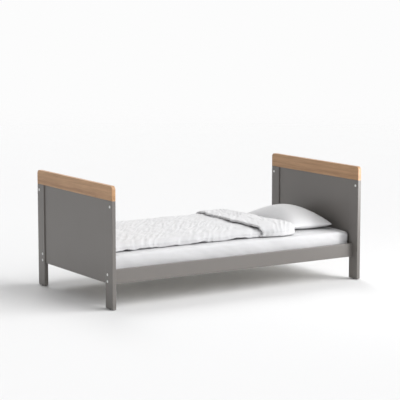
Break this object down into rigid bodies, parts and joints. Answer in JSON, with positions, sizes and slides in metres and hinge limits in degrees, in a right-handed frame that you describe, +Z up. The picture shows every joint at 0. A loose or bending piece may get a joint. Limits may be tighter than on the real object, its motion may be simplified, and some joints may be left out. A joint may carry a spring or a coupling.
{
  "type": "toddler bed",
  "caption": "Low child's bed with grey board ends, oak top rails, set-back side rails, a slatted base, mattress, turned-back duvet and pillow.",
  "frame": {"origin": "on the floor under the middle of the bed", "axes": "+X from the foot end to the head end, +Y from the front side to the rear side, +Z up"},
  "size_m": [1.6552, 0.87, 0.664],
  "materials": {
    "grey_paint": "satin grey paint on board",
    "oak": "clear-lacquered oak",
    "pine": "planed, untreated",
    "beech": "fluted dowel rod, untreated",
    "white_plastic": "moulded, satin",
    "glide_plastic": "moulded, matt",
    "zinc_steel": "zinc-plated",
    "webbing": "woven polyester tape",
    "foam": "soft foam block",
    "wadding": "polyester fibre fill",
    "sheet_cotton": "smooth white cotton, stretched",
    "duvet_cotton": "finely crinkled white cotton",
    "pillow_cotton": "smooth white cotton"
  },
  "bodies": {
    "frame": {"foot_post_front": "grey_paint", "foot_post_rear": "grey_paint", "foot_panel": "grey_paint", "foot_top_rail": "oak", "foot_dowels": "beech", "head_post_front": "grey_paint", "head_post_rear": "grey_paint", "head_panel": "grey_paint", "head_top_rail": "oak", "head_dowels": "beech", "side_rail_front": "grey_paint", "bearer_front": "pine", "slat_tape_front": "webbing", "side_rail_rear": "grey_paint", "bearer_rear": "pine", "slat_tape_rear": "webbing", "slat_01": "pine", "slat_02": "pine", "slat_03": "pine", "slat_04": "pine", "slat_05": "pine", "slat_06": "pine", "slat_07": "pine", "slat_08": "pine", "slat_09": "pine", "slat_10": "pine", "slat_11": "pine", "slat_12": "pine", "slat_13": "pine", "slat_14": "pine", "rail_bolts": "zinc_steel", "barrel_nuts": "zinc_steel", "rail_dowels": "beech", "rail_bolt_caps": "white_plastic", "spare_hole_caps_outer": "white_plastic", "spare_hole_caps_inner": "white_plastic", "glides": "glide_plastic", "bearer_screws": "zinc_steel", "slat_screws": "zinc_steel"},
    "mattress": {"mattress_core": "foam", "fitted_sheet": "sheet_cotton"},
    "duvet": {"duvet_filling": "wadding", "duvet_cover": "duvet_cotton"},
    "pillow": {"pillow_filling": "wadding", "pillowcase": "pillow_cotton"}
  },
  "joints": [
    {"name": "mattress_lift", "type": "slide", "parent": "frame", "child": "mattress", "axis": [0, 0, 1], "range_m": [0, 0.55]},
    {"name": "duvet_lift", "type": "slide", "parent": "mattress", "child": "duvet", "axis": [0, 0, 1], "range_m": [0, 0.5]},
    {"name": "pillow_lift", "type": "slide", "parent": "mattress", "child": "pillow", "axis": [0, 0, 1], "range_m": [0, 0.5]}
  ]
}
